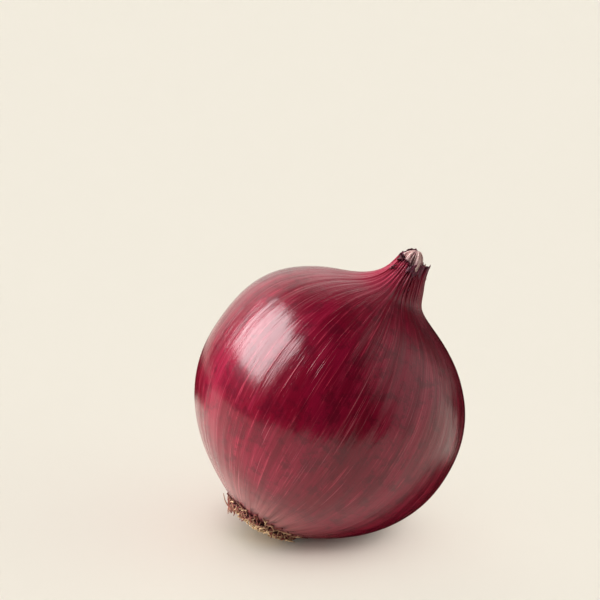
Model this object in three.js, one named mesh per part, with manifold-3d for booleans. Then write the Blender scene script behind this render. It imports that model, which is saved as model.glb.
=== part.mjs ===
// A dry red onion: the bulb in its papery skin, the tuft of trimmed dry roots under it, and the
// withered leaf stub that stands in its cut neck.
// Millimetres. The onion is drawn upright, +Z from the roots to the neck, with its widest ring at
// height 0, then leaned over so that it rests on the flat it has settled on.
// The origin is the middle of that flat, on the surface the onion lies on.
import * as THREE from "three";
import { mergeVertices } from "three/addons/utils/BufferGeometryUtils.js";
import Module from "manifold-3d";

// The bulb, measured from its widest ring at height 0.
const BULB_DIAMETER = 76;
const ROOT_END_DEPTH = 36; // down to the face that the roots grow from
const ROOT_FACE_DIAMETER = 21;
const ROOT_RIM_SLOPE = 24; // degrees that the skin rises as it leaves the root face
const SHOULDER_HEIGHT = 27.5; // where the round shoulder turns into the hollow of the neck
const SHOULDER_DIAMETER = 49.5;
const SHOULDER_SLOPE = 56; // degrees off the axis
const NECK_HEIGHT = 46.5;
const NECK_DIAMETER = 8.6;
const NECK_SLOPE = 10; // degrees off the axis at the cut

// The bulb grew fuller on one side, so its centre line wanders.
const FULL_SIDE = 150; // degrees around the axis, from the side that it leans to
const FULLEST_HEIGHT = 31;
const FULLEST_SHIFT = 2.6; // towards the full side, at that height
const ROOT_END_SHIFT = 0.8; // away from it, at the root face

// The withered leaf stub in the cut neck.
const CUP_DEPTH = 4;
const NECK_WALL = 1;
const STUB_PROUD = 1; // how far it stands out of the neck
const STUB_CRUMPLE = 0.45;
const STUB_FOLDS = 5;

// The dry roots.
const ROOT_PLATE_HEIGHT = 1.6;
const ROOT_COUNT = 46;
const ROOT_LENGTH = 3;
const ROOT_THICKNESS = 1.2;
const ROOT_SPREAD = 40; // degrees that the outermost roots lean out

// How the onion lies.
const LEAN = 33; // degrees off upright
const LEAN_AZIMUTH = 20; // degrees from +X towards +Y, the way that the neck points from above
const FLAT_DEPTH = 0.6; // how much of the round side is pressed flat

const CLEARANCE = 0.3; // between pieces that touch
const BULB_SIDES = 64;
const STUB_SIDES = 30;
const ROOT_SIDES = 6;
const CURVE_STEPS = 14; // along each curve of the bulb's outline

const wasm = await Module();
wasm.setup();

const radians = THREE.MathUtils.degToRad;
const smooth = THREE.MathUtils.smoothstep;

// A point of an outline: its distance from the axis and its height along the axis.
const at = (radius, height) => new THREE.Vector2(radius, height);

// A step of a given length whose direction is turned from straight out towards straight up.
const step = (length, degrees) =>
  at(length * Math.cos(radians(degrees)), length * Math.sin(radians(degrees)));

// A repeatable number from -1 to 1 for one root and one use.
function scatter(index, use) {
  const value = Math.sin(index * 12.9898 + use * 78.233) * 43758.5453;
  return 2 * (value - Math.floor(value)) - 1;
}

// Turns an outline around the axis, with +Z as the axis.
const turned = (outline, sides) => new THREE.LatheGeometry(outline, sides).rotateX(Math.PI / 2);

// Moves each vertex of a geometry by a function of its place.
function moved(geometry, place) {
  const points = geometry.attributes.position;
  const point = new THREE.Vector3();
  for (let i = 0; i < points.count; i++) {
    point.fromBufferAttribute(points, i);
    place(point);
    points.setXYZ(i, point.x, point.y, point.z);
  }
  return geometry;
}

function solidOf(geometry) {
  const bare = geometry.clone();
  bare.deleteAttribute("normal");
  bare.deleteAttribute("uv");
  const merged = mergeVertices(bare);
  const vertProperties = new Float32Array(merged.attributes.position.array);
  const triVerts = new Uint32Array(merged.index.array);
  return new wasm.Manifold(new wasm.Mesh({ numProp: 3, vertProperties, triVerts }));
}

function geometryOf(solid) {
  const mesh = solid.getMesh();
  const geometry = new THREE.BufferGeometry();
  geometry.setAttribute("position", new THREE.BufferAttribute(mesh.vertProperties, 3));
  geometry.setIndex(new THREE.BufferAttribute(mesh.triVerts, 1));
  geometry.computeVertexNormals();
  return geometry;
}

// How far the bulb's centre line stands from the axis at a height, towards the full side.
function centreShift(height) {
  if (height < 0) return (ROOT_END_SHIFT * height) / ROOT_END_DEPTH;
  const straight = FULLEST_HEIGHT + 0.6 * (NECK_HEIGHT - FULLEST_HEIGHT);
  const rise = (height / FULLEST_HEIGHT) ** 2;
  return FULLEST_SHIFT * rise * (1 - smooth(height, FULLEST_HEIGHT, straight));
}

// Sets a piece drawn around the axis onto the centre line.
function onCentreLine(geometry) {
  const side = radians(FULL_SIDE);
  return moved(geometry, (point) => {
    const shift = centreShift(point.z);
    point.x += shift * Math.cos(side);
    point.y += shift * Math.sin(side);
  });
}

// The bulb: root face, belly, shoulder, hollow neck flank, cut rim and the cup inside the neck.
function bulbGeometry() {
  const rim = at(ROOT_FACE_DIAMETER / 2, -ROOT_END_DEPTH);
  const widest = at(BULB_DIAMETER / 2, 0);
  const shoulder = at(SHOULDER_DIAMETER / 2, SHOULDER_HEIGHT);
  const neck = at(NECK_DIAMETER / 2, NECK_HEIGHT);
  const flank = NECK_HEIGHT - SHOULDER_HEIGHT;

  const belly = new THREE.CubicBezierCurve(
    rim,
    rim.clone().add(step(0.42 * ROOT_END_DEPTH, ROOT_RIM_SLOPE)),
    widest.clone().add(at(0, -0.5 * ROOT_END_DEPTH)),
    widest,
  );
  const crown = new THREE.CubicBezierCurve(
    widest,
    widest.clone().add(at(0, 0.27 * SHOULDER_HEIGHT)),
    shoulder.clone().sub(step(0.52 * SHOULDER_HEIGHT, 90 + SHOULDER_SLOPE)),
    shoulder,
  );
  const hollow = new THREE.CubicBezierCurve(
    shoulder,
    shoulder.clone().add(step(0.8 * flank, 90 + SHOULDER_SLOPE)),
    neck.clone().sub(step(0.8 * flank, 90 + NECK_SLOPE)),
    neck,
  );
  const inside = NECK_DIAMETER / 2 - NECK_WALL;
  const outline = [
    at(0, -ROOT_END_DEPTH),
    ...belly.getPoints(CURVE_STEPS),
    ...crown.getPoints(CURVE_STEPS).slice(1),
    ...hollow.getPoints(CURVE_STEPS).slice(1),
    at(inside, NECK_HEIGHT),
    at(inside, NECK_HEIGHT - CUP_DEPTH),
    at(0, NECK_HEIGHT - CUP_DEPTH),
  ];
  return onCentreLine(turned(outline, BULB_SIDES));
}

// The stub: a folded plug standing in the neck's cup, clear of its wall and its floor.
function stubGeometry() {
  const radius = NECK_DIAMETER / 2 - NECK_WALL - CLEARANCE;
  const foot = NECK_HEIGHT - CUP_DEPTH + CLEARANCE;
  const top = NECK_HEIGHT + STUB_PROUD;
  const outline = [
    at(0, foot),
    at(radius, foot),
    at(radius, NECK_HEIGHT - STUB_PROUD),
    at(0.85 * radius, top - 0.2 * STUB_PROUD),
    at(0.5 * radius, top),
    at(0, top - STUB_CRUMPLE),
  ];
  const folded = moved(turned(outline, STUB_SIDES), (point) => {
    const around = Math.atan2(point.y, point.x);
    const fold = (1 + Math.cos(STUB_FOLDS * around)) / 2;
    const squeeze = 1 - (STUB_CRUMPLE * fold * Math.hypot(point.x, point.y)) / radius ** 2;
    point.x *= squeeze;
    point.y *= squeeze;
  });
  return onCentreLine(folded);
}

// The domed root plate: its radius, its seat under the bulb and its face at a distance from the axis.
const plateRadius = ROOT_FACE_DIAMETER / 2 - CLEARANCE;
const plateSeat = -ROOT_END_DEPTH - CLEARANCE;
const plateFace = (distance) =>
  plateSeat - ROOT_PLATE_HEIGHT * Math.sqrt(1 - 0.8 * (distance / plateRadius) ** 2);

// One dry root: a short tapered stick with a bend, hanging from the plate.
function rootGeometry(index) {
  const share = Math.sqrt((index + 0.5) / ROOT_COUNT);
  const turn = index * Math.PI * (3 - Math.sqrt(5));
  const thick = (ROOT_THICKNESS / 2) * (1 + 0.2 * scatter(index, 1));
  const length = ROOT_LENGTH * (1 + 0.18 * scatter(index, 2)) * (1 - 0.25 * share);
  const sunk = ROOT_PLATE_HEIGHT / 2;
  const stick = new THREE.CylinderGeometry(thick, 0.6 * thick, length + sunk, ROOT_SIDES, 3);
  stick.rotateX(Math.PI / 2).translate(0, 0, (sunk - length) / 2);
  moved(stick, (point) => {
    const along = Math.max(0, -point.z / length);
    point.x += 0.7 * scatter(index, 3) * along ** 2;
    point.y += 0.7 * scatter(index, 4) * along ** 2;
  });
  const distance = share * (plateRadius - ROOT_THICKNESS);
  stick.rotateY(-radians(ROOT_SPREAD) * share ** 2);
  stick.rotateZ(turn);
  stick.translate(distance * Math.cos(turn), distance * Math.sin(turn), plateFace(distance));
  return onCentreLine(stick);
}

// The roots: the domed plate and every root on it, grown together as one piece under the seat.
function rootsSolid() {
  const rings = 6;
  const outline = [];
  for (let i = 0; i <= rings; i++) {
    const distance = (plateRadius * i) / rings;
    outline.push(at(distance, plateFace(distance)));
  }
  outline.push(at(plateRadius, plateSeat), at(0, plateSeat));
  let roots = solidOf(onCentreLine(turned(outline, STUB_SIDES)));
  for (let i = 0; i < ROOT_COUNT; i++) {
    roots = roots.add(solidOf(rootGeometry(i)));
  }
  const size = 4 * plateRadius;
  const under = new THREE.BoxGeometry(size, size, size).translate(0, 0, plateSeat - size / 2);
  return roots.intersect(solidOf(under));
}

// The leaned group that holds the onion, with its round side sunk through the surface by a depth.
const onion = new THREE.Group();
onion.rotation.set(0, radians(LEAN), radians(LEAN_AZIMUTH), "ZYX");

const lowest = new THREE.Vector3(0, 0, Infinity);
moved(bulbGeometry(), (point) => {
  point.applyEuler(onion.rotation);
  if (point.z < lowest.z) lowest.copy(point);
});
onion.position.set(-lowest.x, -lowest.y, -lowest.z - FLAT_DEPTH);

// A block of the space above the surface, in the onion's own upright frame.
function above(height) {
  const size = 4 * (BULB_DIAMETER + ROOT_END_DEPTH + NECK_HEIGHT);
  onion.updateMatrix();
  const block = new THREE.BoxGeometry(size, size, size).translate(0, 0, size / 2 + height);
  return solidOf(block.applyMatrix4(onion.matrix.clone().invert()));
}

const bulb = new THREE.Mesh(
  geometryOf(solidOf(bulbGeometry()).intersect(above(0))),
  new THREE.MeshStandardMaterial({ color: 0x8c2448, roughness: 0.35, metalness: 0 }),
);
bulb.name = "bulb";

const roots = new THREE.Mesh(
  geometryOf(rootsSolid().intersect(above(CLEARANCE))),
  new THREE.MeshStandardMaterial({ color: 0xb89a78, roughness: 0.9, metalness: 0 }),
);
roots.name = "roots";

const leafStub = new THREE.Mesh(
  stubGeometry(),
  new THREE.MeshStandardMaterial({ color: 0xd9c4bc, roughness: 0.75, metalness: 0 }),
);
leafStub.name = "leaf_stub";

onion.add(bulb, roots, leafStub);

// The middle of the flat becomes the origin.
const flat = new THREE.Box3();
moved(bulb.geometry.clone(), (point) => {
  point.applyMatrix4(onion.matrix);
  if (point.z < 1e-3) flat.expandByPoint(point);
});
const middle = flat.getCenter(new THREE.Vector3());
onion.position.x -= middle.x;
onion.position.y -= middle.y;

const part = new THREE.Group();
part.add(onion);

export default part;
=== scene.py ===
"""A dry red onion that rests on its round side, neck up to the right, on a plain pale floor.

Metres, in the row's own frame. Most shapes are worked out in the onion's own upright frame, with
the height above the root face along its axis and an angle around it, and are then leaned over
with `placed`. Colours are linear. Besides the floor, the stage has a dark card and a dark mat,
which show only in the skin's gloss: the card as dark neighbours would, with painted shadow on the
floor at its foot, and the mat as painted shadow on the floor under the onion. A shadow core inside
the onion shows only in the floor's shadow.
"""
import math

import bpy
import numpy as np
from mathutils import Euler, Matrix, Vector
from mathutils.bvhtree import BVHTree


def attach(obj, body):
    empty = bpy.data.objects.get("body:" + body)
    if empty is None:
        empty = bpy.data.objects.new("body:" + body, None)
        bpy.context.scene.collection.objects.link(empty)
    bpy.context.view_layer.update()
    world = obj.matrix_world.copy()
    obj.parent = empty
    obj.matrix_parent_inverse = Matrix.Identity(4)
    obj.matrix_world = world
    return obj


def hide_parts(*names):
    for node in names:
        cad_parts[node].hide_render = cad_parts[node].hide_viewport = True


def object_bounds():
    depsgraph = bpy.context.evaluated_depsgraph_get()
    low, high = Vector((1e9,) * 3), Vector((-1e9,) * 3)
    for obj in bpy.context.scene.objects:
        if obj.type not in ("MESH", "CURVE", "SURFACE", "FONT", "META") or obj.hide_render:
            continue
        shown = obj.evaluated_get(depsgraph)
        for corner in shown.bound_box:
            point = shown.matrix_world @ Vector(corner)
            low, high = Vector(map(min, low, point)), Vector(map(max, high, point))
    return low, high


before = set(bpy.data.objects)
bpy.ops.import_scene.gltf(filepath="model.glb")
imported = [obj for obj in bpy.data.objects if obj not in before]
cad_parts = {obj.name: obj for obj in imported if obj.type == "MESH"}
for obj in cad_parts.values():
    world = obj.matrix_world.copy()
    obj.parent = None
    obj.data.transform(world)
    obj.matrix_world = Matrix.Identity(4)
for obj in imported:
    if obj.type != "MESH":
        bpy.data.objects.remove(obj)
cad_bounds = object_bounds()

MM = 0.001
TURN = 2 * math.pi

# How the CAD onion lies.
LEAN = math.radians(33)
LEAN_AZIMUTH = math.radians(20)
LEANED = np.array(Euler((0, LEAN, LEAN_AZIMUTH), "XYZ").to_matrix())

# The view: the camera's height over the floor, and what it frames at the onion's distance.
VIEW_ELEVATION = math.radians(20.5)
VIEW_DISTANCE = 0.95
VIEW_END = 50
FRAME_WIDTH = 0.1643
AIM_RIGHT = -6.9 * MM
AIM_UP = 27.9 * MM
BULB_MIDDLE = Vector((0, 0, 37 * MM))

# The floor sheet, and the colour that it shows and that carries on past it.
FLOOR_RADIUS = 0.55
FLOOR_BEHIND = 0.25
BACKDROP = (0.896, 0.837, 0.709)

# Angles around the axis, in the own frame.
FRONT = math.radians(-118)
RIGHT = math.radians(-28)
LEFT = math.radians(152)

# Skin colours.
DEEP_CRIMSON = (0.15, 0.001, 0.012)
CRIMSON = (0.235, 0.003, 0.027)
DARK_PATCH = (0.11, 0.0008, 0.01)
RED_STREAK = (0.32, 0.013, 0.045)
PINK_LINE = (0.44, 0.036, 0.07)
DARK_LINE = (0.085, 0.0006, 0.008)
DARK_MOTTLE = (0.08, 0.0015, 0.01)
PALE_THREAD = (0.55, 0.12, 0.16)
ROOT_END_PINK = (0.45, 0.16, 0.16)
# Painted light: a paler pink for the neck's upper left flank.
NECK_PAINTED_LIGHT = (0.5, 0.055, 0.1)
NECK_LINE = (0.55, 0.13, 0.18)
NECK_GAP = (0.06, 0.002, 0.01)
TORN_EDGE = (0.06, 0.004, 0.014)
SKIN_TINT = (1.0, 0.1, 0.25, 1)

# Withered leaf, dried film and curls.
LEAF_TAN = (0.6, 0.3, 0.285)
LEAF_PALE = (0.86, 0.67, 0.6)
LEAF_SPOT = (0.4, 0.13, 0.17)
# Painted shade: mauve towards the leaf's foot.
LEAF_FOOT_SHADE = (0.38, 0.12, 0.18)
# Painted shade: dark purple down in the leaf's folds.
LEAF_FOLD_SHADE = (0.22, 0.04, 0.08)
FILM_DARK = (0.05, 0.003, 0.013)
FILM_RED = (0.23, 0.022, 0.065)
CURL_DARK = (0.045, 0.006, 0.01)
CURL_RED = (0.18, 0.03, 0.045)

# Roots and their plate.
ROOT_BROWN = (0.2, 0.05, 0.038)
STRAW = (0.82, 0.6, 0.34)
FIBRE_BROWN = (0.25, 0.1, 0.07)
ROOT_FOOT = (0.11, 0.014, 0.018)
CORK_DARK = (0.03, 0.004, 0.006)
CORK_BROWN = (0.1, 0.02, 0.02)

# Stage colours.
FLOOR_COLOUR = (0.825, 0.785, 0.7, 1)
# Card and mat colour: dark neighbours and painted floor shadow, seen only in the skin's gloss.
CARD_COLOUR = (0.05, 0.004, 0.01, 1)
WALL_COLOUR = (1.0, 0.95, 0.88, 1)
OVERHEAD_COLOUR = (1.0, 0.99, 0.965)
WHITE = (1.0, 1.0, 1.0)


# ---------------------------------------------------------------- the onion's own frame

def own_points(node):
    """A CAD node's vertices in the leaned onion's upright directions."""
    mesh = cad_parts[node].data
    points = np.empty(len(mesh.vertices) * 3, np.float64)
    mesh.vertices.foreach_get("co", points)
    return points.reshape(-1, 3) @ LEANED


stub_points = own_points("leaf_stub")
root_points = own_points("roots")
bulb_points = own_points("bulb")
AXIS = (stub_points[:, :2].min(0) + stub_points[:, :2].max(0)) / 2
ROOT_FACE = root_points[:, 2].max()
NECK_TOP = bulb_points[:, 2].max()
STUB_TOP = stub_points[:, 2].max()
PLATE_RADIUS = np.ptp(root_points[root_points[:, 2] > ROOT_FACE - 0.1 * MM][:, 1]) / 2


def placed(radius, angle, height):
    """Row-frame points for radii and angles around the axis and heights above the root face."""
    radius, angle, height = np.broadcast_arrays(radius, angle, height)
    across = AXIS[0] + radius * np.cos(angle)
    along = AXIS[1] + radius * np.sin(angle)
    return np.stack([across, along, height + ROOT_FACE], -1) @ LEANED.T


def smooth(value, low, high):
    """0 up to `low`, 1 from `high`, and a soft step between them."""
    share = np.clip((value - low) / (high - low), 0, 1)
    return share * share * (3 - 2 * share)


def ripple(angle, along, low, high, drift, seed):
    """Waves around the axis, `low` to `high` of them to a turn, that wander along it. Unit size."""
    rng = np.random.default_rng(seed)
    total = np.zeros(np.broadcast(angle, along).shape)
    power = 0
    for waves in range(low, high + 1):
        phase, size = rng.uniform(0, TURN), rng.uniform(0.3, 1)
        wander = rng.normal(0, drift)
        total += size * np.cos(waves * angle + phase + wander * along)
        power += size * size / 2
    return total / math.sqrt(power)


def bump_at(angle, middle, width):
    """1 at an angle around the axis, falling to 0 a width away."""
    away = np.abs((angle - middle + math.pi) % TURN - math.pi)
    return 1 - smooth(away, 0, width)


# ---------------------------------------------------------------- meshes

def grid_object(name, rows, wrap, grain, marks=None, flip=False):
    """A mesh over a grid of points. Its grain says where each point is around and along the piece,
    marks are named numbers per point, and its map unrolls the grid."""
    count, sides = rows.shape[:2]
    columns = sides if wrap else sides - 1
    first = np.arange(count - 1)[:, None] * sides + np.arange(columns)[None, :]
    second = np.arange(count - 1)[:, None] * sides + (np.arange(columns)[None, :] + 1) % sides
    quads = np.stack([first, second, second + sides, first + sides], -1).reshape(-1, 4)
    if flip:
        quads = quads[:, ::-1]
    mesh = bpy.data.meshes.new(name)
    mesh.from_pydata(rows.reshape(-1, 3).tolist(), [], quads.tolist())
    across = np.arange(columns + 1) / columns
    down = np.linspace(0, 1, count)
    corner_u = np.stack([across[:-1], across[1:], across[1:], across[:-1]], -1)
    corner_v = np.stack([down[:-1], down[:-1], down[1:], down[1:]], -1)
    uv = np.empty((count - 1, columns, 4, 2))
    uv[..., 0] = corner_u[None]
    uv[..., 1] = corner_v[:, None]
    if flip:
        uv = uv[:, :, ::-1]
    mesh.uv_layers.new(name="OFBake").data.foreach_set("uv", uv.ravel())
    attribute = mesh.attributes.new("grain", "FLOAT_VECTOR", "POINT")
    attribute.data.foreach_set("vector", np.asarray(grain, float).ravel())
    for mark, values in (marks or {}).items():
        attribute = mesh.attributes.new(mark, "FLOAT", "POINT")
        attribute.data.foreach_set("value", np.asarray(values, float).ravel())
    mesh.shade_smooth()
    obj = bpy.data.objects.new(name, mesh)
    bpy.context.scene.collection.objects.link(obj)
    return obj


STRAND_SIDES = 7


def tubes_object(name, paths, radii, tones):
    """One mesh of many tapered strands. Each path is a row of points with a radius at each."""
    sides = STRAND_SIDES
    points, faces, tone, share = [], [], [], []
    ring_angles = np.arange(sides) / sides * TURN
    off_axis = np.array([0.31, 0.87, 0.38])
    tiny = 1e-12
    for path, radius, colour in zip(paths, radii, tones):
        ahead = np.gradient(path, axis=0)
        ahead /= np.linalg.norm(ahead, axis=1, keepdims=True) + tiny
        side = np.cross(ahead, off_axis)
        side /= np.linalg.norm(side, axis=1, keepdims=True) + tiny
        other = np.cross(ahead, side)
        start = len(points)
        for i, centre in enumerate(path):
            ring = np.cos(ring_angles)[:, None] * side[i]
            ring = ring + np.sin(ring_angles)[:, None] * other[i]
            points.extend((centre + ring * radius[i]).tolist())
            tone.extend([colour] * sides)
            share.extend([i / (len(path) - 1)] * sides)
        for i in range(len(path) - 1):
            for j in range(sides):
                a = start + i * sides + j
                b = start + i * sides + (j + 1) % sides
                faces.append((a, b, b + sides, a + sides))
        last = start + (len(path) - 1) * sides
        faces.append(tuple(range(last, last + sides)))
        faces.append(tuple(range(start + sides - 1, start - 1, -1)))
    mesh = bpy.data.meshes.new(name)
    mesh.from_pydata(points, [], faces)
    for mark, values in (("tone", tone), ("share", share)):
        attribute = mesh.attributes.new(mark, "FLOAT", "POINT")
        attribute.data.foreach_set("value", values)
    mesh.shade_smooth()
    obj = bpy.data.objects.new(name, mesh)
    bpy.context.scene.collection.objects.link(obj)
    return obj


def finished(obj, material, slot, *nodes):
    """A piece with its material, on the onion's body, standing for the CAD nodes named."""
    obj.data.materials.append(material)
    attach(obj, "root")
    if nodes:
        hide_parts(*nodes)


# ---------------------------------------------------------------- material helpers

class Nodes:
    """Short calls for building one material's node tree."""

    def __init__(self, name):
        self.material = bpy.data.materials.new(name)
        self.material.use_nodes = True
        self.tree = self.material.node_tree
        self.shader = self.tree.nodes["Principled BSDF"]

    def add(self, kind, **settings):
        node = self.tree.nodes.new(kind)
        for key, value in settings.items():
            setattr(node, key, value)
        return node

    def link(self, out, socket):
        self.tree.links.new(out, socket)

    def attribute(self, name, output="Fac"):
        return self.add("ShaderNodeAttribute", attribute_name=name).outputs[output]

    def math(self, operation, first, second):
        node = self.add("ShaderNodeMath", operation=operation)
        for socket, value in zip(node.inputs, (first, second)):
            if isinstance(value, (int, float)):
                socket.default_value = value
            else:
                self.link(value, socket)
        return node.outputs[0]

    def scaled(self, vector, scale):
        """A vector stretched by a scale for each of its directions."""
        node = self.add("ShaderNodeVectorMath", operation="MULTIPLY")
        self.link(vector, node.inputs[0])
        node.inputs[1].default_value = scale
        return node.outputs[0]

    def noise(self, vector, scale=1.0, detail=2.0, roughness=0.5, distortion=0.0):
        node = self.add("ShaderNodeTexNoise")
        self.link(vector, node.inputs["Vector"])
        node.inputs["Scale"].default_value = scale
        node.inputs["Detail"].default_value = detail
        node.inputs["Roughness"].default_value = roughness
        node.inputs["Distortion"].default_value = distortion
        return node.outputs["Fac"]

    def band(self, value, low, high, bottom=0.0, top=1.0):
        """`bottom` where the value is `low`, `top` where it is `high`, a soft step between."""
        node = self.add("ShaderNodeMapRange", interpolation_type="SMOOTHSTEP")
        self.link(value, node.inputs["Value"])
        node.inputs["From Min"].default_value = low
        node.inputs["From Max"].default_value = high
        node.inputs["To Min"].default_value = bottom
        node.inputs["To Max"].default_value = top
        return node.outputs["Result"]

    def mix(self, factor, first, second):
        """The first colour, turned into the second by a factor. Colours are tuples or outputs."""
        node = self.add("ShaderNodeMix", data_type="RGBA")
        factor_input, first_input, second_input = node.inputs[0], node.inputs[6], node.inputs[7]
        self.link(factor, factor_input)
        for socket, value in ((first_input, first), (second_input, second)):
            if isinstance(value, tuple):
                socket.default_value = (*value, 1)
            else:
                self.link(value, socket)
        return node.outputs[2]

    def bump(self, height, distance):
        node = self.add("ShaderNodeBump")
        self.link(height, node.inputs["Height"])
        node.inputs["Distance"].default_value = distance
        node.inputs["Strength"].default_value = 1.0
        return node.outputs["Normal"]

    def object_place(self):
        """Where a point is in its piece's own coordinates."""
        return self.add("ShaderNodeTexCoord").outputs["Object"]

    def set(self, **values):
        """Uniform values, on the shader's own sockets."""
        for key, value in values.items():
            self.shader.inputs[key.replace("_", " ")].default_value = value


# ---------------------------------------------------------------- materials

def skin_material():
    """Glossy dry skin: crimson, with long fine streaks from the roots to the neck, and painted light, a
    paler pink, on the neck's upper left flank.
    """
    n = Nodes("onion_skin")
    grain = n.attribute("grain", "Vector")
    height = n.attribute("height")
    neck = n.attribute("neck")
    object_place = n.object_place()

    patches = n.noise(n.scaled(grain, (1.5, 1.5, 3)), detail=2)
    broad = n.noise(n.scaled(grain, (8, 8, 2.2)), detail=2, roughness=0.5)
    streaks = n.noise(n.scaled(grain, (21, 21, 4.0)), detail=4, roughness=0.65, distortion=0.35)
    fine = n.noise(n.scaled(grain, (56, 56, 6.5)), detail=3, roughness=0.65, distortion=0.25)
    threads = n.noise(n.scaled(grain, (110, 110, 5)), detail=1)
    mottle = n.noise(object_place, scale=230, detail=6, roughness=0.75)

    colour = n.mix(n.band(patches, 0.35, 0.65), DEEP_CRIMSON, CRIMSON)
    colour = n.mix(n.band(broad, 0.45, 0.62, 0, 0.6), colour, DARK_PATCH)
    colour = n.mix(n.band(streaks, 0.53, 0.7, 0, 0.55), colour, RED_STREAK)
    colour = n.mix(n.band(fine, 0.58, 0.71, 0, 0.7), colour, PINK_LINE)
    colour = n.mix(n.band(fine, 0.46, 0.32, 0, 0.4), colour, DARK_LINE)
    colour = n.mix(n.band(mottle, 0.48, 0.62, 0, 0.6), colour, DARK_MOTTLE)
    colour = n.mix(n.band(threads, 0.68, 0.76, 0, 0.5), colour, PALE_THREAD)
    root_side = n.band(height, 12 * MM, 0.5 * MM, 0, 0.6)
    root_streaks = n.math("MULTIPLY", root_side, n.band(streaks, 0.3, 0.6))
    colour = n.mix(root_streaks, colour, ROOT_END_PINK)
    # Painted light: the 'pale' mark makes the neck's upper left flank paler pink.
    pale = n.attribute("pale")
    colour = n.mix(n.math("MULTIPLY", pale, 0.75), colour, NECK_PAINTED_LIGHT)
    neck_lines = n.math("MULTIPLY", neck, n.band(streaks, 0.52, 0.66))
    colour = n.mix(n.math("MULTIPLY", neck_lines, 0.5), colour, NECK_LINE)
    neck_gaps = n.math("MULTIPLY", neck, n.band(fine, 0.42, 0.34))
    colour = n.mix(n.math("MULTIPLY", neck_gaps, 0.7), colour, NECK_GAP)
    colour = n.mix(n.attribute("edge"), colour, TORN_EDGE)
    n.link(colour, n.shader.inputs["Base Color"])

    n.link(n.band(streaks, 0.3, 0.7, 0.34, 0.46), n.shader.inputs["Roughness"])
    lines = n.math("ADD", n.math("MULTIPLY", streaks, 0.9), n.math("MULTIPLY", fine, 0.4))
    lines = n.math("ADD", lines, n.math("MULTIPLY", n.band(threads, 0.6, 0.75), 0.16))
    lines = n.math("ADD", lines, n.math("MULTIPLY", mottle, 0.12))
    normal = n.bump(lines, 0.13 * MM)
    n.link(normal, n.shader.inputs["Normal"])
    n.link(normal, n.shader.inputs["Coat Normal"])
    n.link(n.band(neck, 0.15, 0.9, 1.0, 0.35), n.shader.inputs["Coat Weight"])
    n.set(Specular_IOR_Level=0.2, Specular_Tint=SKIN_TINT, Coat_Roughness=0.18)
    return n.material


def dry_leaf_material():
    """The withered leaf in the neck: beige and pink, with painted shade, mauve towards its foot and dark
    purple in its folds.
    """
    n = Nodes("dry_leaf")
    grain = n.attribute("grain", "Vector")
    fold = n.attribute("fold")
    lines = n.noise(n.scaled(grain, (9, 9, 60)), detail=4, roughness=0.6)
    spots = n.noise(n.object_place(), scale=900, detail=3)
    colour = n.mix(n.band(lines, 0.35, 0.65), LEAF_TAN, LEAF_PALE)
    colour = n.mix(n.band(spots, 0.52, 0.68, 0, 0.5), colour, LEAF_SPOT)
    # Painted shade: mauve towards the foot of the leaf's dome.
    colour = n.mix(n.band(n.attribute("low"), 0.15, 0.75, 0, 0.65), colour, LEAF_FOOT_SHADE)
    # Painted shade: dark purple down in the folds' valleys.
    colour = n.mix(n.band(fold, 0.5, 0.05, 0, 0.8), colour, LEAF_FOLD_SHADE)
    n.link(colour, n.shader.inputs["Base Color"])
    n.set(Roughness=0.7)
    n.link(n.bump(lines, 0.2 * MM), n.shader.inputs["Normal"])
    return n.material


def dark_film_material():
    """Dried torn skin at the cut neck: dark maroon, with a papery shine."""
    n = Nodes("dark_film")
    grain = n.attribute("grain", "Vector")
    lines = n.noise(n.scaled(grain, (14, 14, 40)), detail=4, roughness=0.6)
    colour = n.mix(n.band(lines, 0.4, 0.66), FILM_DARK, FILM_RED)
    n.link(colour, n.shader.inputs["Base Color"])
    n.link(n.band(lines, 0.3, 0.7, 0.35, 0.55), n.shader.inputs["Roughness"])
    n.link(n.bump(lines, 0.2 * MM), n.shader.inputs["Normal"])
    return n.material


def curl_material():
    """Dried curls of skin: nearly black, with red streaks."""
    n = Nodes("dried_curl")
    streak = n.noise(n.object_place(), scale=1600, detail=2)
    colour = n.mix(n.band(streak, 0.4, 0.65), CURL_DARK, CURL_RED)
    n.link(colour, n.shader.inputs["Base Color"])
    n.set(Roughness=0.6)
    n.link(n.bump(streak, 0.1 * MM), n.shader.inputs["Normal"])
    return n.material


def root_material():
    """Dry root fibre: straw and tan, each strand its own tone, brown where it leaves the plate."""
    n = Nodes("dry_root")
    place = n.object_place()
    tone = n.attribute("tone")
    share = n.attribute("share")
    fibre = n.noise(place, scale=1500, detail=3, roughness=0.6)
    colour = n.mix(n.band(tone, 0.1, 0.9), ROOT_BROWN, STRAW)
    colour = n.mix(n.band(fibre, 0.45, 0.7, 0, 0.4), colour, FIBRE_BROWN)
    colour = n.mix(n.band(share, 0.45, 0.0, 0, 0.8), colour, ROOT_FOOT)
    n.link(colour, n.shader.inputs["Base Color"])
    n.set(Roughness=0.8)
    n.link(n.bump(fibre, 0.15 * MM), n.shader.inputs["Normal"])
    return n.material


def plate_material():
    """The root plate between the strands: dark maroon brown and corky."""
    n = Nodes("root_plate")
    cork = n.noise(n.object_place(), scale=700, detail=4, roughness=0.65)
    colour = n.mix(n.band(cork, 0.38, 0.66), CORK_DARK, CORK_BROWN)
    n.link(colour, n.shader.inputs["Base Color"])
    n.set(Roughness=0.85)
    n.link(n.bump(cork, 0.4 * MM), n.shader.inputs["Normal"])
    return n.material


def floor_material():
    """Plain, pale and almost without gloss."""
    n = Nodes("pale_floor")
    n.set(Base_Color=FLOOR_COLOUR, Roughness=0.9, Specular_IOR_Level=0.1)
    return n.material


# ---------------------------------------------------------------- the bulb's outline from the CAD

def cad_surface():
    """The CAD bulb as a tree of triangles that rays can be sent at."""
    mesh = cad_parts["bulb"].data
    mesh.calc_loop_triangles()
    points = [v.co for v in mesh.vertices]
    return BVHTree.FromPolygons(points, [t.vertices for t in mesh.loop_triangles])


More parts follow.
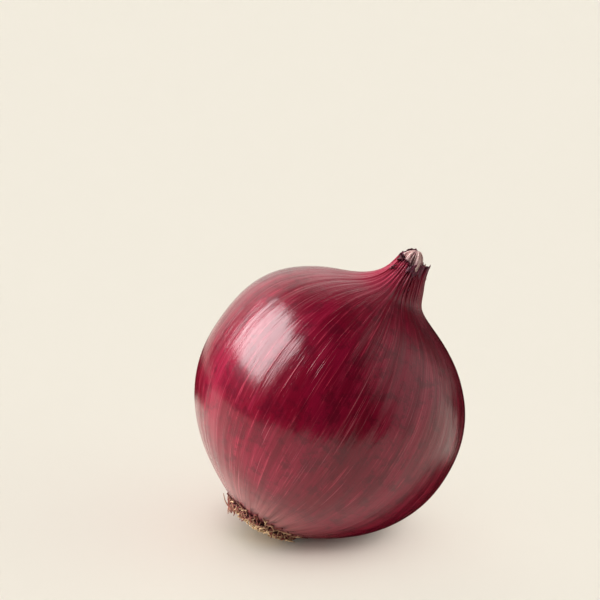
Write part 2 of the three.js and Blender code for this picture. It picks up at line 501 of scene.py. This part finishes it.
def measured_radii(heights, angles):
    """The CAD bulb's radius at each height and angle, found by looking in towards the axis."""
    tree = cad_surface()
    reach = 60 * MM
    starts = placed(reach, angles[None, :], heights[:, None])
    middles = placed(0, angles[None, :], heights[:, None])
    radii = np.empty(starts.shape[:2])
    for i in range(len(heights)):
        for j in range(len(angles)):
            start = Vector(starts[i, j])
            inward = (Vector(middles[i, j]) - start).normalized()
            hit = tree.ray_cast(start, inward)[3]
            radii[i, j] = reach - hit if hit is not None else np.nan
    return radii


def blurred(values, width):
    """Rows softened into each other, the first and last kept."""
    steps = np.arange(-3 * width, 3 * width + 1)
    weights = np.exp(-0.5 * (steps / width) ** 2)
    padded = np.concatenate([2 * values[:1] - values[3 * width:0:-1], values,
                             2 * values[-1:] - values[-2:-3 * width - 2:-1]])
    return sum(w * padded[i:i + len(values)] for i, w in enumerate(weights)) / weights.sum()


def more_sides(radii, sides):
    """Radii around the axis at more angles, with the CAD's flat facets smoothed away."""
    waves = np.fft.rfft(radii, axis=1)
    keep = np.exp(-((np.arange(waves.shape[1]) / FACET_WAVES) ** 4))
    full = np.zeros((len(radii), sides // 2 + 1), complex)
    full[:, :waves.shape[1]] = waves * keep
    return np.fft.irfft(full, sides, axis=1) * sides / radii.shape[1]


SIDES = 480
STEPS = 190
ROUGH_SIDES = 24
ROUGH_STEPS = 260
MEASURED_SIDES = 192
FACET_WAVES = 26.0


def outline():
    """Heights at even steps along the bulb's flank, and the smooth radii there."""
    length = NECK_TOP - ROOT_FACE
    trial = np.linspace(0.4 * MM, length - 0.05 * MM, ROUGH_STEPS)
    rough = measured_radii(trial, np.arange(ROUGH_SIDES) / ROUGH_SIDES * TURN).mean(1)
    run = np.concatenate([[0], np.cumsum(np.hypot(np.diff(trial), np.diff(rough)))])
    heights = np.interp(np.linspace(0, run[-1], STEPS), run, trial)
    radii = measured_radii(heights, np.arange(MEASURED_SIDES) / MEASURED_SIDES * TURN)
    return heights, blurred(more_sides(radii, SIDES), width=2)


heights, skin_radii = outline()
angles = np.arange(SIDES) / SIDES * TURN

NECK_LENGTH = NECK_TOP - ROOT_FACE
STUB_LENGTH = STUB_TOP - ROOT_FACE
RIM_DROP = 1.5 * MM
PLATE_SHIFT = 0.8 * MM
WALL = 0.35 * MM


def neck_share(height):
    """0 on the body, 1 at the top of the neck."""
    return smooth(height, NECK_LENGTH - 20 * MM, NECK_LENGTH - 3 * MM)


def skin_relief(angle, height):
    """How far the skin stands off its smooth outline: lumps, ridges, neck pleats, root puckers."""
    neck = neck_share(height)
    root = 1 - smooth(height, 1 * MM, 10 * MM)
    body = (1 - neck) * (1 - root)
    run = height / (40 * MM)
    lumps = 0.16 * MM * ripple(angle, run, 2, 6, 0.6, 3) * body
    ridges = 0.022 * MM * ripple(angle, run, 26, 64, 1.2, 5) * (0.5 + 0.5 * body + 2 * neck)
    folds = np.abs(ripple(angle, run, 7, 15, 1.5, 8)) + 0.5 * np.abs(ripple(angle, run, 16, 30, 2, 9))
    pleats = 0.24 * MM * (folds - 0.9) * neck
    puckers = 0.13 * MM * (np.abs(ripple(angle, run, 14, 30, 1, 12)) - 0.8) * root
    flatter = bump_at(angle, LEFT, 1.5) * (1 - smooth(height, 40 * MM, 62 * MM))
    swell_rows = smooth(height, 58 * MM, 70 * MM) * (1 - smooth(height, 71 * MM, 80 * MM))
    swell = bump_at(angle, RIGHT, 1.3) * swell_rows
    inward = 0.1 * MM
    return lumps + ridges + pleats + puckers - inward - 0.55 * MM * flatter + 0.8 * MM * swell


def rim_cut(angle):
    """How much of the neck's end is torn away around the axis: more at the front."""
    ragged = 0.3 * ripple(angle, 0, 3, 9, 0, 21) + 0.14 * ripple(angle, 0, 18, 40, 0, 22)
    return RIM_DROP * bump_at(angle, FRONT - 0.1, 1.7) + MM * np.clip(ragged + 0.3, 0, 2)


def in_box(points):
    """Row-frame points kept inside the CAD model's box."""
    return np.clip(points, np.array(cad_bounds[0]), np.array(cad_bounds[1]))


def bulb_skin():
    """The whole skin: closed under the roots, up the flank and the neck, and down inside its end."""
    angle = angles[None, :]
    height = heights[:, None] + 0 * angle
    radius = skin_radii + skin_relief(angle, height)
    cut_height = height - rim_cut(angle) * smooth(height, NECK_LENGTH - 8 * MM, NECK_LENGTH)
    mouth = radius[-1:] - WALL
    inside = [0.4 * MM, 1.2 * MM, 2.5 * MM, 4 * MM]
    inner_heights = [cut_height[-1:] - depth for depth in inside]
    inner_radii = [mouth * share for share in (1, 0.98, 0.96, 0.9)]
    closing_radii = [mouth * share for share in (0.5, 0.02)]
    foot = [radius[:1] * share for share in (0.02, 0.5, 0.9)]
    rows_radius = np.concatenate(foot + [radius] + inner_radii + closing_radii)
    foot_height = [height[:1] - 0.1 * MM] * len(foot)
    closing_height = [inner_heights[-1] - 0.2 * MM] * len(closing_radii)
    rows_height = np.concatenate(foot_height + [cut_height] + inner_heights + closing_height)
    points = placed(rows_radius, angle, rows_height)

    below, above = len(foot), len(inner_radii) + len(closing_radii)
    run = np.concatenate([np.zeros(below), np.linspace(0, 1, STEPS), np.ones(above)])[:, None]
    grain = np.stack(np.broadcast_arrays(np.cos(angle), np.sin(angle), run), -1)
    torn_length = 0.5 * MM + 1.6 * MM * bump_at(angle, FRONT + 0.9, 1.5)
    torn_from = NECK_LENGTH - height - 0.6 * MM * np.abs(ripple(angle, 0, 9, 30, 0, 31))
    torn = 1 - smooth(torn_from, 0, torn_length)
    upper = height + 1.5 * MM * bump_at(angle, LEFT, 0.9)
    holes = np.clip(ripple(angle, height / (3 * MM), 18, 44, 2.5, 33), 0, 1)
    root_edge = upper - 0.5 * MM * ripple(angle, 0, 12, 40, 0, 32)
    root_torn = 1 - smooth(root_edge, 0.9 * MM, 2.0 * MM)
    root_torn = np.maximum(root_torn, holes * (1 - smooth(upper, 2.4 * MM, 3.6 * MM)))
    edge = np.maximum(torn, 0.85 * root_torn)
    edge = np.concatenate([np.ones((below, SIDES)), edge, np.ones((above, SIDES))])
    # Painted light: the 'pale' mark, a paler pink patch up the neck's upper left flank.
    painted_light_patch = smooth(rows_height, NECK_LENGTH - 22 * MM, NECK_LENGTH - 9 * MM)
    painted_light_patch = painted_light_patch * bump_at(angle, LEFT + 0.5, 1.35)
    marks = {"height": rows_height, "neck": neck_share(rows_height), "pale": painted_light_patch, "edge": edge}
    obj = grid_object("bulb_skin", in_box(points), True, grain, marks)
    finished(obj, skin_material(), "skin", "bulb")


def leaf_core():
    """The withered leaf plug: folded along its length, its end rounded over and crumpled."""
    sides, steps = 220, 60
    angle = (np.arange(sides) / sides * TURN)[None, :]
    share = np.linspace(0, 1, steps)[:, None]
    base, top = NECK_LENGTH - 4.4 * MM, STUB_LENGTH + 0.9 * MM
    fold = 0.5 + 0.3 * ripple(angle, share, 4, 9, 1.2, 41) + 0.18 * ripple(angle, share, 12, 24, 2.0, 42)
    fold = np.clip(fold, 0, 1)
    over = share * math.pi / 2
    dome = np.cos(over) ** 0.68
    rise = np.sin(over) ** 1.05
    crumple = 0.25 * MM * ripple(angle, share * 4, 1, 6, 1.6, 43) * np.sin(2 * over)
    radius = (3.6 * MM * (0.78 + 0.22 * fold) + crumple) * dome
    height = base + (top - base) * rise - 0.7 * MM * (1 - fold) * np.sin(2 * over) ** 2
    height = height + 0.3 * radius * np.cos(angle - RIGHT / 2) * rise
    leftward = placed(1, LEFT, 0) - placed(0, 0, 0)
    points = placed(radius, angle, height) + 0.7 * MM * rise[..., None] * leftward
    grain = np.stack(np.broadcast_arrays(np.cos(angle), np.sin(angle), share * 0.2), -1)
    # The 'low' mark places the leaf's painted shade towards its foot, and 'fold' its painted shade in
    # the folds.
    marks = {"fold": fold, "low": 1 - rise + 0 * angle}
    obj = grid_object("leaf_core", in_box(points), True, grain, marks)
    finished(obj, dry_leaf_material(), "dry_leaf", "leaf_stub")


def sheet(name, start, end, bottom, top, radius_at, thickness, seed, ragged=0.13 * MM):
    """A thin dry sheet wrapped part way round the neck: up its outside, over, and down inside.

    `top` gives the height of its upper edge at an angle, `radius_at` its radius at an angle and a
    share of its height.
    """
    columns, steps = 90, 16
    angle = np.linspace(start, end, columns)[None, :]
    share = np.linspace(0, 1, steps)[:, None]
    tip = top(angle) + ragged * ripple(angle, 0, 8, 26, 0, seed)
    ends = np.sin(np.linspace(0, math.pi, columns))[None, :] ** 0.35
    foot = bottom + 3 * ragged * ripple(angle, 0, 6, 22, 0, seed + 2)
    height = foot + (tip - foot) * share * ends
    outside = radius_at(angle, share) + 0.12 * MM * ripple(angle, share, 8, 20, 1, seed + 1)
    outer = placed(outside, angle, height)
    inner = placed(outside - thickness, angle, height)
    rows = np.concatenate([outer, inner[::-1]])
    grain_one = np.stack(np.broadcast_arrays(np.cos(angle), np.sin(angle), share * 0.15), -1)
    grain = np.concatenate([grain_one, grain_one[::-1]])
    unfolded = np.full(rows.shape[:2], 0.8)
    return grid_object(name, in_box(rows), False, grain, {"fold": unfolded})


def neck_radius(height):
    """The skin's mean radius at a height."""
    return np.interp(height, heights, skin_radii.mean(1))


def neck_sheets():
    """Torn dry sheets in the cut neck: dark film behind and in front of the core, and pale leaf."""
    film = dark_film_material()
    leaf = dry_leaf_material()

    def back_top(angle):
        return NECK_LENGTH + 0.2 * MM + 2.1 * MM * bump_at(angle, LEFT - 1.45, 1.5)

    def back_radius(angle, share):
        return 4.0 * MM - 0.5 * MM * share ** 3

    back = sheet("back_film", LEFT - 2.3, LEFT + 0.7, NECK_LENGTH - 3 * MM, back_top, back_radius,
                 0.12 * MM, 51, 0.06 * MM)
    finished(back, film, "skin")

    front_bottom = NECK_LENGTH - 4.0 * MM

    def front_top(angle):
        wave = 0.25 * MM * ripple(angle, 0, 2, 7, 0, 60)
        return NECK_LENGTH - 0.5 * MM + 0.7 * MM * bump_at(angle, RIGHT, 1.0) + wave

    def front_radius(angle, share):
        wave = 0.07 * MM * ripple(angle, share, 6, 14, 1, 63) * share
        return neck_radius(front_bottom + 3.5 * MM * share) - 0.15 * MM + 0.35 * MM * share + wave

    front = sheet("front_wrap", FRONT - 0.1, RIGHT + 1.1, front_bottom, front_top, front_radius,
                  0.15 * MM, 61)
    finished(front, film, "skin")

    sliver_bottom = NECK_LENGTH - 2.3 * MM

    def sliver_top(angle):
        return NECK_LENGTH

    def sliver_radius(angle, share):
        return neck_radius(sliver_bottom) + 0.15 * MM + 0.15 * MM * share

    sliver = sheet("pale_sliver", FRONT + 0.3, FRONT + 0.46, sliver_bottom, sliver_top,
                   sliver_radius, 0.15 * MM, 81)
    finished(sliver, leaf, "dry_leaf")

    def pale_top(angle):
        return NECK_LENGTH - 0.2 * MM

    def pale_radius(angle, share):
        return 3.9 * MM - 0.3 * MM * share

    pale = sheet("pale_leaf", RIGHT - 0.3, RIGHT + 0.9, NECK_LENGTH - 3.4 * MM, pale_top,
                 pale_radius, 0.15 * MM, 71)
    finished(pale, leaf, "dry_leaf")


CURL_STEPS = 12


def curl(degrees, depth, reach, rise, twist):
    """A dried curl that leaves the neck below its end, arches out and turns back."""
    steps = np.linspace(0, 1, CURL_STEPS)
    angle = math.radians(degrees)
    height = NECK_LENGTH - depth * MM
    radius = neck_radius(height) - 0.2 * MM + reach * MM * np.sin(steps * math.pi * 0.9)
    return placed(radius, angle + twist * steps, height + rise * MM * steps)


def neck_curls():
    """The small dark curls round the cut neck, six in the photo's view and two behind."""
    paths = [
        curl(-176, depth=2.9, reach=0.55, rise=1.5, twist=0.45),
        curl(-150, depth=2.2, reach=0.5, rise=1.2, twist=-0.4),
        curl(-167, depth=5.4, reach=0.8, rise=1.7, twist=0.3),
        curl(-158, depth=4.9, reach=0.7, rise=-1.3, twist=-0.25),
        curl(-32, depth=3.9, reach=0.35, rise=0.8, twist=0.3),
        curl(-25, depth=0.6, reach=0.3, rise=-1.0, twist=0.3),
        curl(60, depth=2.2, reach=0.5, rise=1.5, twist=0.4),
        curl(115, depth=2.0, reach=0.6, rise=1.3, twist=-0.4),
    ]
    paths = [in_box(path) for path in paths]
    taper = 0.24 * MM * np.sin(np.linspace(0.5, math.pi - 0.15, CURL_STEPS))
    dark_tone = 0.1
    obj = tubes_object("neck_curls", paths, [taper] * len(paths), [dark_tone] * len(paths))
    finished(obj, curl_material(), "skin")


def plate_face(share):
    """Height of the domed root plate at a share of its radius, under the root face."""
    return -0.2 * MM - 1.5 * MM * np.sqrt(np.clip(1 - 0.85 * share ** 2, 0, 1))


def on_plate(points):
    """Root points moved over to where the plate's middle is, and kept over the floor."""
    return in_box(points + PLATE_SHIFT * (placed(1, RIGHT, 0) - placed(0, 0, 0)))


def root_plate():
    """The corky plate that the roots leave, with a short skirt up inside the skin."""
    sides, steps = 120, 26
    angle = (np.arange(sides) / sides * TURN)[None, :]
    share = np.linspace(1, 0.01, steps)[:, None]
    cork = 0.22 * MM * ripple(angle, share * 5, 3, 16, 2.5, 81) * share
    uneven = 1 + 0.02 * ripple(angle, 0, 5, 20, 0, 82)
    face = placed(PLATE_RADIUS * share * uneven, angle, plate_face(share) + cork)
    skirt = placed(PLATE_RADIUS * 0.98, angle, 0.5 * MM)
    rows = np.concatenate([skirt, face])
    grain = np.zeros(rows.shape)
    obj = grid_object("root_plate", on_plate(rows), True, grain, flip=True)
    finished(obj, plate_material(), "dry_roots", "roots")


ROOT_STEPS = 10
MAT_ROOTS = 460
RIM_ROOTS = 240
GOLDEN_TURN = math.pi * (3 - math.sqrt(5))


def root_strand(rng, share, turn):
    """One short curly root: it leaves the plate, wanders over the mat and turns back."""
    steps = np.linspace(0, 1, ROOT_STEPS)
    lift = rng.uniform(0.7, 2.4) * MM * (1 - 0.85 * share ** 3) * np.sin(steps * rng.uniform(1.5, 2.5))
    heading, bend = rng.uniform(0, TURN), rng.normal(0, 2.4)
    length = rng.uniform(1.4, 3.2) * MM
    headings = heading + bend * steps
    across = np.cumsum(np.cos(headings)) * length / len(steps)
    along = np.cumsum(np.sin(headings)) * length / len(steps)
    radius = 0.96 * PLATE_RADIUS * share
    plane_x = radius * math.cos(turn) + across
    plane_y = radius * math.sin(turn) + along
    radius = np.minimum(np.hypot(plane_x, plane_y), PLATE_RADIUS - 0.6 * MM)
    angle = np.arctan2(plane_y, plane_x)
    face = plate_face(np.minimum(radius / PLATE_RADIUS, 1))
    return placed(radius, angle, face + 0.4 * MM - lift)


def rim_strand(rng, turn):
    """One root of the plate's rim: it starts between the torn skin and runs down over the mat."""
    steps = np.linspace(0, 1, ROOT_STEPS)
    start, drop = rng.uniform(-0.6, 2.1) * MM, rng.uniform(1.0, 2.4) * MM
    start -= 1.2 * MM * bump_at(turn, LEFT, 0.9)
    weave = rng.uniform(0.15, 0.75) * MM * np.sin(steps * rng.uniform(2, 6) + rng.uniform(0, TURN))
    height = start - drop * steps
    outer = np.interp(height, heights, skin_radii.mean(1), left=skin_radii[0].mean())
    inward = 0.9 * MM * np.clip(-height / (1.5 * MM), 0, 1.5) ** 1.5
    radius = outer + 0.05 * MM + 0.22 * MM * np.sin(steps * rng.uniform(1, 3)) - inward
    return placed(radius, turn + weave / PLATE_RADIUS + rng.normal(0, 0.12) * steps, height)


def root_tuft():
    """All the short roots: a mat over the plate, straw in its middle, and a darker rim."""
    rng = np.random.default_rng(7)
    paths, radii, tones = [], [], []
    for i in range(MAT_ROOTS + RIM_ROOTS):
        if i < MAT_ROOTS:
            share = math.sqrt((i + 0.5) / MAT_ROOTS)
            path = root_strand(rng, share, i * GOLDEN_TURN)
            tone = 0.8 - 0.3 * share ** 4
        else:
            path = rim_strand(rng, (i - MAT_ROOTS + rng.uniform(-0.4, 0.4)) / RIM_ROOTS * TURN)
            tone = 0.26
        thick = rng.uniform(0.13, 0.27) * MM
        path = on_plate(path)
        path[:, 2] = np.maximum(path[:, 2], thick + 0.1 * MM)
        paths.append(path)
        radii.append(thick * (1 - 0.4 * np.linspace(0, 1, ROOT_STEPS) ** 2))
        tones.append(float(np.clip(rng.normal(tone, 0.2), 0, 1)))
    obj = tubes_object("root_tuft", paths, radii, tones)
    finished(obj, root_material(), "dry_roots")


WHISKER_STEPS = 12


def thread(turn, reach, low, high, swing):
    """A long thin root that leaves the tuft, `reach` past the plate's rim."""
    steps = np.linspace(0, 1, WHISKER_STEPS)
    radius = PLATE_RADIUS - 2.5 * MM + (reach + 2.5 * MM) * steps ** 0.8
    return placed(radius, turn + swing * steps, low + (high - low) * steps ** 2)


def root_whiskers():
    """Two long thin threads that stand off the tuft, and a flake of pale dry skin."""
    threads = [
        thread(LEFT + 0.05, reach=2.3 * MM, low=-2.5 * MM, high=0.0, swing=-0.05),
        thread(math.radians(-95), reach=0.4 * MM, low=-1.6 * MM, high=-0.9 * MM, swing=-0.3),
    ]
    steps = np.linspace(0, 1, WHISKER_STEPS)
    flake_angle = RIGHT - 0.6 + 0.2 * steps
    flake = placed(9.2 * MM + 3 * MM * steps, flake_angle, -1.5 * MM + 0.9 * MM * steps)
    paths = [on_plate(path) for path in threads + [flake]]
    thread_taper = 0.25 * MM * (1 - 0.65 * steps)
    flake_taper = 0.3 * MM * np.sin(steps * math.pi * 0.85 + 0.3)
    thread_tone, flake_tone = 0.35, 1.0
    tapers = [thread_taper, thread_taper, flake_taper]
    tones = [thread_tone, thread_tone, flake_tone]
    obj = tubes_object("root_whiskers", paths, tapers, tones)
    finished(obj, root_material(), "dry_roots")


# ---------------------------------------------------------------- the stage

SENSOR_WIDTH = 36
FLOOR_SIDES = 96


def camera():
    """The view of the photo. Depth of field stays off."""
    right = Vector((1, 0, 0))
    up = Vector((0, math.sin(VIEW_ELEVATION), math.cos(VIEW_ELEVATION)))
    toward = Vector((0, -math.cos(VIEW_ELEVATION), math.sin(VIEW_ELEVATION)))
    data = bpy.data.cameras.new("camera")
    data.sensor_width = SENSOR_WIDTH
    data.lens = SENSOR_WIDTH * VIEW_DISTANCE / FRAME_WIDTH
    data.clip_end = VIEW_END
    obj = bpy.data.objects.new("camera", data)
    bpy.context.scene.collection.objects.link(obj)
    obj.location = BULB_MIDDLE + toward * VIEW_DISTANCE
    aim = BULB_MIDDLE + right * AIM_RIGHT + up * AIM_UP
    obj.rotation_euler = (obj.location - aim).to_track_quat("Z", "Y").to_euler()
    bpy.context.scene.camera = obj


def floor():
    """A round pale sheet just under the onion, past the view on every side, mostly behind it."""
    mesh = bpy.data.meshes.new("floor")
    turns = np.arange(FLOOR_SIDES) / FLOOR_SIDES * TURN
    rim = [(FLOOR_RADIUS * math.cos(turn), FLOOR_RADIUS * math.sin(turn), 0) for turn in turns]
    mesh.from_pydata(rim, [], [tuple(range(len(rim)))])
    obj = bpy.data.objects.new("floor", mesh)
    obj.location = (0, FLOOR_BEHIND, -0.05 * MM)
    bpy.context.scene.collection.objects.link(obj)
    obj.data.materials.append(floor_material())
    return obj


def card_object():
    """A dark card that curves round the onion's far side from right to left: tallest at the back
    right, and raised off the floor at the left. Azimuth 0 is towards the camera. In the skin's gloss it
    stands for the dark onions around this one, and its foot is painted shadow on the floor round the
    onion."""
    columns = 40
    azimuth = np.radians(np.linspace(97, 262, columns))
    raised = smooth(azimuth, math.radians(205), math.radians(240))
    head_height = 46 * MM + 24 * MM * bump_at(azimuth, math.radians(140), math.radians(40))
    nearer = 9 * MM * bump_at(azimuth, math.radians(130), math.radians(60))
    foot_radius = 44 * MM - nearer + 14 * MM * raised
    head_radius = 70 * MM
    around = np.stack([np.sin(azimuth), -np.cos(azimuth)], -1)
    foot = np.concatenate([foot_radius[:, None] * around, 26 * MM * raised[:, None]], -1)
    head = np.concatenate([head_radius * around, head_height[:, None]], -1)
    rows = np.stack([foot, head])
    share = np.stack([0.2 * (1 - raised), np.ones(columns)])
    return grid_object("dark_card", rows, False, np.zeros(rows.shape), {"share": share})


def shadow_mat_object():
    """Painted shadow: a dark oval mat on the floor under the onion, seen only in the skin's gloss, that
    fades out at its rim.
    """
    columns = 41
    turn = np.arange(columns) / columns * TURN
    middle = np.array([20 * MM, 8 * MM, 0.05 * MM]) + np.zeros((columns, 3))
    rim = middle + np.stack([60 * MM * np.cos(turn), 42 * MM * np.sin(turn), 0 * turn], -1)
    rows = np.stack([middle, rim])
    share = np.repeat([[0.5], [1.0]], columns, axis=1)
    return grid_object("floor_shadow_mat", rows, True, np.zeros(rows.shape), {"share": share})


def dark_reflections():
    """The card and the mat, seen only in the skin's gloss, where they hide most of the pale floor:
    painted shadow on the floor round the onion.
    """
    card, mat = card_object(), shadow_mat_object()
    n = Nodes("dark_card")
    n.set(Base_Color=CARD_COLOUR, Roughness=0.9)
    share = n.attribute("share")
    soft_head = n.band(share, 1.0, 0.78)
    soft_foot = n.band(share, 0.0, 0.16)
    n.link(n.math("MULTIPLY", soft_head, soft_foot), n.shader.inputs["Alpha"])
    for obj in (card, mat):
        obj.data.materials.append(n.material)
        obj.visible_camera = False
        obj.visible_diffuse = False
        obj.visible_shadow = False


def shadow_core():
    """A flat round shape low inside the onion, never seen, that the floor's lights take their
    shadow from. It keeps the shadow close under the onion."""
    sides, steps = 64, 24
    turn = np.arange(sides) / sides * TURN
    pole = math.pi / 2 - 0.01
    tilt = np.linspace(-pole, pole, steps)[:, None]
    across = 24 * MM * np.cos(tilt)
    height = 13 * MM + 12 * MM * np.sin(tilt) + 0 * turn
    rows = np.stack([across * np.cos(turn) - 3 * MM, across * np.sin(turn), height], -1)
    obj = grid_object("shadow_core", rows, True, np.zeros(rows.shape))
    obj.data.materials.append(floor_material())
    obj.visible_camera = False
    obj.visible_diffuse = False
    obj.visible_glossy = False
    return obj


def group_of(name, objects):
    """A collection that a light's linking can name."""
    group = bpy.data.collections.new(name)
    for obj in objects:
        group.objects.link(obj)
    return group


def direction_of(azimuth, elevation):
    """A unit vector from degrees. Azimuth 0 is towards the camera, positive to the right."""
    azimuth, elevation = math.radians(azimuth), math.radians(elevation)
    flat = math.cos(elevation)
    return Vector((math.sin(azimuth) * flat, -math.cos(azimuth) * flat, math.sin(elevation)))


def light_object(name, data, direction):
    """A light in the scene that shines back along a direction."""
    obj = bpy.data.objects.new(name, data)
    bpy.context.scene.collection.objects.link(obj)
    obj.rotation_euler = direction.to_track_quat("Z", "Y").to_euler()
    return obj


def area_light(name, azimuth, elevation, distance, width, height, radiance):
    """A soft white panel that faces the onion."""
    data = bpy.data.lights.new(name, "AREA")
    data.shape = "RECTANGLE"
    data.size, data.size_y = width, height
    data.energy = radiance * math.pi * width * height
    direction = direction_of(azimuth, elevation)
    obj = light_object(name, data, direction)
    obj.location = BULB_MIDDLE + direction * distance
    return obj


def sun_light(name, azimuth, elevation, spread, strength, colour):
    """Even light from a round patch of sky, `spread` degrees wide."""
    data = bpy.data.lights.new(name, "SUN")
    data.energy = strength
    data.angle = math.radians(spread)
    data.color = colour
    return light_object(name, data, direction_of(azimuth, elevation))


def wall(tree, place, azimuth, elevation, inner, outer, strength):
    """A soft round patch of the world: full to `inner` degrees from its middle, dark from `outer`."""
    towards = tree.nodes.new("ShaderNodeVectorMath")
    towards.operation = "DOT_PRODUCT"
    towards.inputs[1].default_value = direction_of(azimuth, elevation)
    tree.links.new(place, towards.inputs[0])
    share = tree.nodes.new("ShaderNodeMapRange")
    share.interpolation_type = "SMOOTHSTEP"
    share.inputs["From Min"].default_value = math.cos(math.radians(outer))
    share.inputs["From Max"].default_value = math.cos(math.radians(inner))
    share.inputs["To Min"].default_value = 0.01
    share.inputs["To Max"].default_value = strength
    tree.links.new(towards.outputs["Value"], share.inputs["Value"])
    return share.outputs["Result"]


def room():
    """A dark room with two pale walls, right and back left. The camera sees only the backdrop."""
    world = bpy.data.worlds.new("room")
    bpy.context.scene.world = world
    world.use_nodes = True
    tree = world.node_tree
    background = tree.nodes["Background"]
    place = tree.nodes.new("ShaderNodeTexCoord").outputs["Generated"]
    right_wall = wall(tree, place, azimuth=88, elevation=12, inner=22, outer=52, strength=0.72)
    back_wall = wall(tree, place, azimuth=-165, elevation=20, inner=16, outer=34, strength=0.85)
    total = tree.nodes.new("ShaderNodeMath")
    tree.links.new(right_wall, total.inputs[0])
    tree.links.new(back_wall, total.inputs[1])
    background.inputs["Color"].default_value = WALL_COLOUR
    tree.links.new(total.outputs[0], background.inputs["Strength"])

    seen = tree.nodes.new("ShaderNodeBackground")
    seen.inputs["Color"].default_value = (*BACKDROP, 1)
    which = tree.nodes.new("ShaderNodeMixShader")
    path = tree.nodes.new("ShaderNodeLightPath")
    tree.links.new(path.outputs["Is Camera Ray"], which.inputs[0])
    tree.links.new(background.outputs[0], which.inputs[1])
    tree.links.new(seen.outputs[0], which.inputs[2])
    tree.links.new(which.outputs[0], tree.nodes["World Output"].inputs["Surface"])


camera()
ground = floor()
bulb_skin()
leaf_core()
neck_curls()
root_plate()
root_tuft()
root_whiskers()
neck_sheets()
onion = [obj for obj in bpy.context.scene.objects if obj.type == "MESH" and obj is not ground]

core = shadow_core()
onion_group = group_of("the onion", onion)
floor_group = group_of("the floor", [ground])
core_group = group_of("the shadow core", [core])

# The onion's lights. Only the softbox shows in the skin's gloss.
softbox = area_light("softbox", azimuth=-93, elevation=43, distance=0.8,
                     width=0.74, height=0.58, radiance=9.4)
side_fill = area_light("side_fill", azimuth=-86, elevation=-4, distance=0.6,
                       width=0.5, height=0.5, radiance=4.3)
right_fill = area_light("right_fill", azimuth=88, elevation=8, distance=0.6,
                        width=0.5, height=0.5, radiance=1.2)
for light in (softbox, side_fill, right_fill):
    light.visible_glossy = light is softbox
    light.light_linking.receiver_collection = onion_group
    light.light_linking.blocker_collection = onion_group

# The floor's lights, with the shadow core as their only shadow.
overhead = sun_light("overhead", azimuth=0, elevation=90, spread=150, strength=2.42,
                     colour=OVERHEAD_COLOUR)
top_front = sun_light("top_front", azimuth=10, elevation=60, spread=40, strength=0.55,
                      colour=WHITE)
for light in (overhead, top_front):
    light.light_linking.receiver_collection = floor_group
    light.light_linking.blocker_collection = core_group

dark_reflections()
room()
bpy.context.scene.view_settings.view_transform = "Standard"
